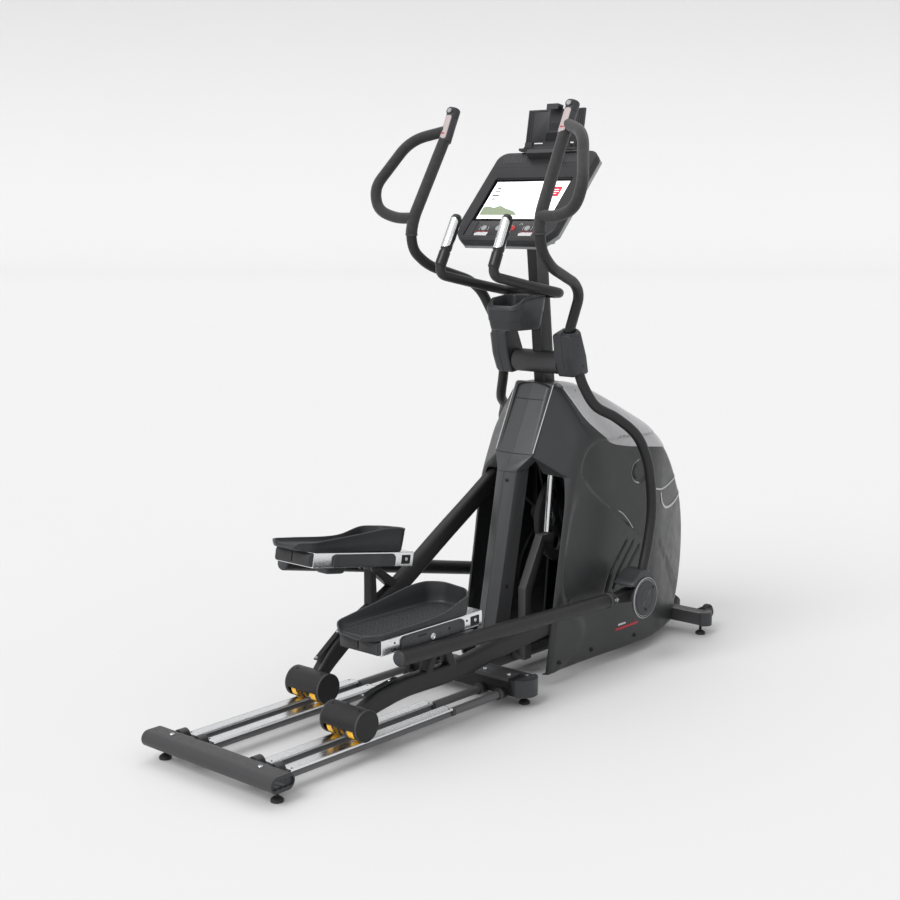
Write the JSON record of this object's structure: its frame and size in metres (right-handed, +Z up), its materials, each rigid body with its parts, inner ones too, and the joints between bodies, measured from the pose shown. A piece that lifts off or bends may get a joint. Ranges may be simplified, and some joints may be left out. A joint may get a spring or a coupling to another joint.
{
  "type": "elliptical trainer",
  "caption": "Front-drive elliptical trainer with railed stride arms, swinging handlebars, foot plates, drive shroud and tilted console.",
  "frame": {"origin": "centre of the footprint's bounding box, on the floor", "axes": "+X forward from the rear stabilizer to the drive nose, +Y to the user's left, +Z up"},
  "size_m": [2.182, 0.8226, 1.7799],
  "materials": {
    "rear_stabilizer": "satin black powder coat",
    "rail_tubes": "gloss black paint",
    "rail_tracks": "brushed anodised",
    "mid_stabilizer": "satin black powder coat",
    "front_stabilizer": "satin black powder coat",
    "stabilizer_caps": "moulded",
    "levelling_feet": "moulded rubber over steel stud",
    "main_frame": "satin black powder coat",
    "mast": "satin black powder coat",
    "swing_axle": "turned",
    "crank_bearings": "ground",
    "brake_unit": "satin",
    "drive_belt": "ribbed rubber",
    "incline_motor": "satin",
    "incline_tube": "polished",
    "incline_lever": "grey powder coat",
    "right_shroud": "fine textured charcoal",
    "left_shroud": "fine textured charcoal",
    "spine_cover": "fine textured charcoal",
    "shroud_trim": "silver paint",
    "pulse_handlebar": "satin black",
    "pulse_sensors": "polished",
    "cup_holder": "moulded",
    "console_shell": "fine textured black",
    "console_back": "light grey moulded",
    "screen": "lit display behind glass",
    "tablet_holder": "fine textured black",
    "fasteners": "zinc plated",
    "crank_arms": "cast and painted",
    "crank_axle": "turned",
    "drive_pulley": "glass-filled",
    "flywheel": "machined rim",
    "transport_wheels": "moulded",
    "right_roller_housing": "moulded black",
    "right_roller_axle": "turned",
    "right_rollers": "yellow urethane",
    "right_stride_arm": "satin black powder coat",
    "right_pedal_link": "satin black powder coat",
    "right_pedal_channel": "brushed anodised",
    "right_foot_plate": "moulded, ribbed tread",
    "right_swing_arm": "satin black powder coat",
    "right_hand_grip": "closed-cell foam",
    "right_arm_covers": "moulded",
    "right_grip_rocker": "printed keypad film",
    "left_roller_housing": "moulded black",
    "left_roller_axle": "turned",
    "left_rollers": "yellow urethane",
    "left_stride_arm": "satin black powder coat",
    "left_pedal_link": "satin black powder coat",
    "left_pedal_channel": "brushed anodised",
    "left_foot_plate": "moulded, ribbed tread",
    "left_swing_arm": "satin black powder coat",
    "left_hand_grip": "closed-cell foam",
    "left_arm_covers": "moulded",
    "left_grip_rocker": "printed keypad film",
    "tablet_clamp": "fine textured black",
    "start_key": "moulded",
    "stop_key": "moulded",
    "incline_rocker": "moulded",
    "resistance_rocker": "moulded"
  },
  "bodies": {
    "frame": {"rear_stabilizer": "rear_stabilizer", "rail_tubes": "rail_tubes", "rail_tracks": "rail_tracks", "mid_stabilizer": "mid_stabilizer", "front_stabilizer": "front_stabilizer", "stabilizer_caps": "stabilizer_caps", "levelling_feet": "levelling_feet", "main_frame": "main_frame", "mast": "mast", "swing_axle": "swing_axle", "crank_bearings": "crank_bearings", "brake_unit": "brake_unit", "drive_belt": "drive_belt", "incline_motor": "incline_motor", "incline_tube": "incline_tube", "incline_lever": "incline_lever", "right_shroud": "right_shroud", "left_shroud": "left_shroud", "spine_cover": "spine_cover", "shroud_trim": "shroud_trim", "pulse_handlebar": "pulse_handlebar", "pulse_sensors": "pulse_sensors", "cup_holder": "cup_holder", "console_shell": "console_shell", "console_back": "console_back", "screen": "screen", "tablet_holder": "tablet_holder", "fasteners": "fasteners"},
    "crank": {"crank_arms": "crank_arms", "crank_axle": "crank_axle", "drive_pulley": "drive_pulley"},
    "flywheel": {"flywheel": "flywheel"},
    "transport_wheels": {"transport_wheels": "transport_wheels"},
    "right_carriage": {"right_roller_housing": "right_roller_housing", "right_roller_axle": "right_roller_axle"},
    "right_rollers": {"right_rollers": "right_rollers"},
    "right_stride_arm": {"right_stride_arm": "right_stride_arm"},
    "right_pedal_link": {"right_pedal_link": "right_pedal_link", "right_pedal_channel": "right_pedal_channel"},
    "right_foot_plate": {"right_foot_plate": "right_foot_plate"},
    "right_swing_arm": {"right_swing_arm": "right_swing_arm", "right_hand_grip": "right_hand_grip", "right_arm_covers": "right_arm_covers"},
    "right_grip_rocker": {"right_grip_rocker": "right_grip_rocker"},
    "left_carriage": {"left_roller_housing": "left_roller_housing", "left_roller_axle": "left_roller_axle"},
    "left_rollers": {"left_rollers": "left_rollers"},
    "left_stride_arm": {"left_stride_arm": "left_stride_arm"},
    "left_pedal_link": {"left_pedal_link": "left_pedal_link", "left_pedal_channel": "left_pedal_channel"},
    "left_foot_plate": {"left_foot_plate": "left_foot_plate"},
    "left_swing_arm": {"left_swing_arm": "left_swing_arm", "left_hand_grip": "left_hand_grip", "left_arm_covers": "left_arm_covers"},
    "left_grip_rocker": {"left_grip_rocker": "left_grip_rocker"},
    "tablet_clamp": {"tablet_clamp": "tablet_clamp"},
    "start_key": {"start_key": "start_key"},
    "stop_key": {"stop_key": "stop_key"},
    "incline_rocker": {"incline_rocker": "incline_rocker"},
    "resistance_rocker": {"resistance_rocker": "resistance_rocker"}
  },
  "joints": [
    {"name": "crank_spin", "type": "hinge", "parent": "frame", "child": "crank", "pos_m": [0.436, 0, 0.468], "axis": [0, 1, 0], "continuous": true},
    {"name": "flywheel_spin", "type": "hinge", "parent": "frame", "child": "flywheel", "pos_m": [0.81, 0, 0.33], "axis": [0, 1, 0], "continuous": true},
    {"name": "wheels_spin", "type": "hinge", "parent": "frame", "child": "transport_wheels", "pos_m": [0.991, 0, 0.064], "axis": [0, 1, 0], "continuous": true},
    {"name": "right_stride", "type": "slide", "parent": "frame", "child": "right_carriage", "axis": [1, 0, 0], "range_m": [0, 0.2919]},
    {"name": "right_roll", "type": "hinge", "parent": "right_carriage", "child": "right_rollers", "pos_m": [-0.71486, 0, 0.0983], "axis": [0, 1, 0], "range_deg": [0, 441]},
    {"name": "right_tilt", "type": "hinge", "parent": "right_carriage", "child": "right_stride_arm", "pos_m": [-0.71486, 0, 0.0983], "axis": [0, -1, 0], "range_deg": [0, 12.6]},
    {"name": "right_pedal", "type": "hinge", "parent": "right_stride_arm", "child": "right_pedal_link", "pos_m": [-0.36286, 0, 0.28073], "axis": [0, -1, 0], "range_deg": [-10.8, 0]},
    {"name": "right_footplate_slide", "type": "slide", "parent": "right_pedal_link", "child": "right_foot_plate", "axis": [1, 0, 0], "range_m": [-0.05, 0.05]},
    {"name": "right_swing", "type": "hinge", "parent": "frame", "child": "right_swing_arm", "pos_m": [0.295, 0, 0.985], "axis": [0, -1, 0], "range_deg": [0, 20.1]},
    {"name": "left_stride", "type": "slide", "parent": "frame", "child": "left_carriage", "axis": [1, 0, 0], "range_m": [-0.3556, 0]},
    {"name": "left_roll", "type": "hinge", "parent": "left_carriage", "child": "left_rollers", "pos_m": [-0.56568, 0, 0.0983], "axis": [0, 1, 0], "range_deg": [-537, 0]},
    {"name": "left_tilt", "type": "hinge", "parent": "left_carriage", "child": "left_stride_arm", "pos_m": [-0.56568, 0, 0.0983], "axis": [0, -1, 0], "range_deg": [-13.6, 0]},
    {"name": "left_pedal", "type": "hinge", "parent": "left_stride_arm", "child": "left_pedal_link", "pos_m": [-0.32944, 0, 0.41669], "axis": [0, -1, 0], "range_deg": [0, 17.4]},
    {"name": "left_footplate_slide", "type": "slide", "parent": "left_pedal_link", "child": "left_foot_plate", "axis": [0.9865, 0, -0.1637], "range_m": [-0.05, 0.05]},
    {"name": "left_swing", "type": "hinge", "parent": "frame", "child": "left_swing_arm", "pos_m": [0.295, 0, 0.985], "axis": [0, -1, 0], "range_deg": [-21.2, 0]},
    {"name": "right_rocker_press", "type": "slide", "parent": "right_swing_arm", "child": "right_grip_rocker", "axis": [0.8995, 0, -0.4369], "range_m": [0, 0.0015], "stiffness_N_per_m": 800, "springref_m": -0.001},
    {"name": "left_rocker_press", "type": "slide", "parent": "left_swing_arm", "child": "left_grip_rocker", "axis": [0.9086, 0, -0.4177], "range_m": [0, 0.0015], "stiffness_N_per_m": 800, "springref_m": -0.001},
    {"name": "tablet_clamp_lift", "type": "slide", "parent": "frame", "child": "tablet_clamp", "axis": [0.1736, 0, 0.9848], "range_m": [0, 0.04], "stiffness_N_per_m": 120, "springref_m": -0.03},
    {"name": "start_key_press", "type": "slide", "parent": "frame", "child": "start_key", "axis": [0.7337, 0, -0.6794], "range_m": [0, 0.0015], "stiffness_N_per_m": 800, "springref_m": -0.001},
    {"name": "stop_key_press", "type": "slide", "parent": "frame", "child": "stop_key", "axis": [0.7337, 0, -0.6794], "range_m": [0, 0.0015], "stiffness_N_per_m": 800, "springref_m": -0.001},
    {"name": "incline_rocker_press", "type": "slide", "parent": "frame", "child": "incline_rocker", "axis": [0.7337, 0, -0.6794], "range_m": [0, 0.0015], "stiffness_N_per_m": 800, "springref_m": -0.001},
    {"name": "resistance_rocker_press", "type": "slide", "parent": "frame", "child": "resistance_rocker", "axis": [0.7337, 0, -0.6794], "range_m": [0, 0.0015], "stiffness_N_per_m": 800, "springref_m": -0.001}
  ],
  "couplings": [
    {"joint": "flywheel_spin", "follows": "crank_spin", "ratio": 6.25},
    {"joint": "right_roll", "follows": "right_stride", "rad_per_m": 26.316},
    {"joint": "right_tilt", "follows": "right_stride", "rad_per_m": 0.7479},
    {"joint": "right_swing", "follows": "right_stride", "rad_per_m": 1.1929},
    {"joint": "right_pedal", "follows": "right_stride", "rad_per_m": -0.6397},
    {"joint": "left_stride", "follows": "right_stride", "ratio": -1.217},
    {"joint": "left_tilt", "follows": "right_stride", "rad_per_m": -0.8083},
    {"joint": "left_swing", "follows": "right_stride", "rad_per_m": -1.2586},
    {"joint": "left_pedal", "follows": "right_stride", "rad_per_m": 1.0317},
    {"joint": "left_roll", "follows": "right_stride", "rad_per_m": -32.026}
  ]
}
